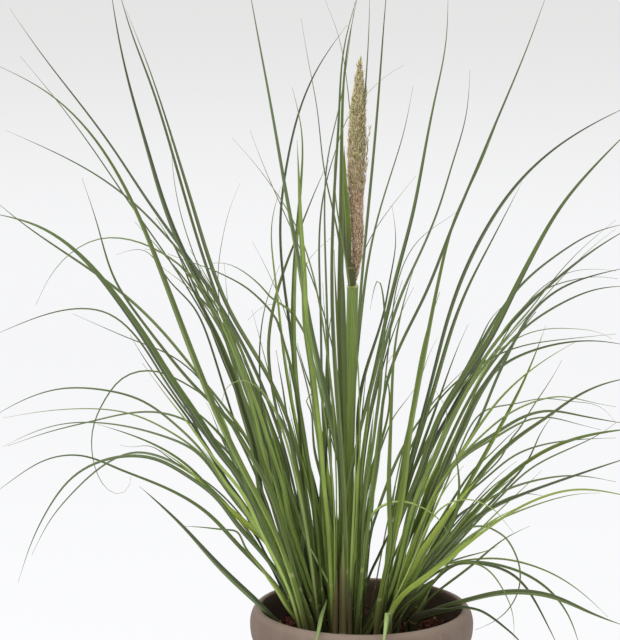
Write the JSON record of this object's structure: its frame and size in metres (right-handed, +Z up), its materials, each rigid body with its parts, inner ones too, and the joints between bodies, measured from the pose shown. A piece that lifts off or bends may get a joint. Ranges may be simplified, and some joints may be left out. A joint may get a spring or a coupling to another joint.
{
  "type": "potted ornamental grass",
  "caption": "Clump of arching ornamental grass with one young plume, growing in a round tapered planter with a broad rolled rim.",
  "frame": {"origin": "middle of the pot's underside", "axes": "+Z up, -Y towards the front as pictured"},
  "size_m": [0.9285, 0.7802, 1.1239],
  "materials": {
    "planter_taupe": "matte",
    "soil_brown": "matte",
    "leaf_green": "satin",
    "leaf_olive": "satin",
    "leaf_pale": "satin",
    "plume_tan": "matte"
  },
  "bodies": {
    "root": {"flag_leaf": "leaf_green", "flower_stalk": "leaf_olive", "front_folded_pale": "leaf_pale", "left_broad_dark": "leaf_green", "left_broad_olive": "leaf_olive", "left_curled_tip": "leaf_green", "left_drooping": "leaf_green", "left_far_reach": "leaf_green", "left_flat_arch": "leaf_green", "left_low_arch": "leaf_green", "left_low_spear": "leaf_green", "left_mid_dark": "leaf_green", "left_round_arch": "leaf_green", "left_straight_dark": "leaf_green", "left_tall_inner": "leaf_green", "left_tall_low": "leaf_green", "left_tall_middle": "leaf_green", "left_tall_outer": "leaf_green", "left_upright_pale": "leaf_pale", "left_upturned": "leaf_green", "left_wide_arch": "leaf_green", "left_yellow_base": "leaf_olive", "middle_broad_pale": "leaf_pale", "middle_dark_left": "leaf_green", "middle_hooked": "leaf_green", "middle_lean_right": "leaf_green", "middle_long_arch": "leaf_green", "middle_reach_back": "leaf_green", "middle_reach_far": "leaf_green", "middle_reach_front": "leaf_green", "middle_short": "leaf_green", "middle_swan_neck": "leaf_green", "middle_tall_dark": "leaf_green", "middle_upright_broad": "leaf_green", "middle_upright_front": "leaf_green", "middle_upright_right": "leaf_green", "middle_wavy": "leaf_green", "plume": "plume_tan", "pot": "planter_taupe", "right_arch_lower": "leaf_green", "right_arch_upper": "leaf_green", "right_bent": "leaf_green", "right_broad_olive": "leaf_olive", "right_drooping_back": "leaf_green", "right_drooping_front": "leaf_green", "right_long_back": "leaf_green", "right_long_dark": "leaf_green", "right_long_front": "leaf_green", "right_long_thin": "leaf_green", "right_low_dark": "leaf_green", "right_low_pale": "leaf_pale", "right_olive": "leaf_olive", "right_over_rim": "leaf_green", "right_spread_dark": "leaf_green", "right_spread_olive": "leaf_olive", "right_spread_thin": "leaf_green", "right_tall_inner": "leaf_olive", "right_tall_outer": "leaf_green", "right_upright_olive": "leaf_olive", "soil": "soil_brown"}
  },
  "joints": []
}
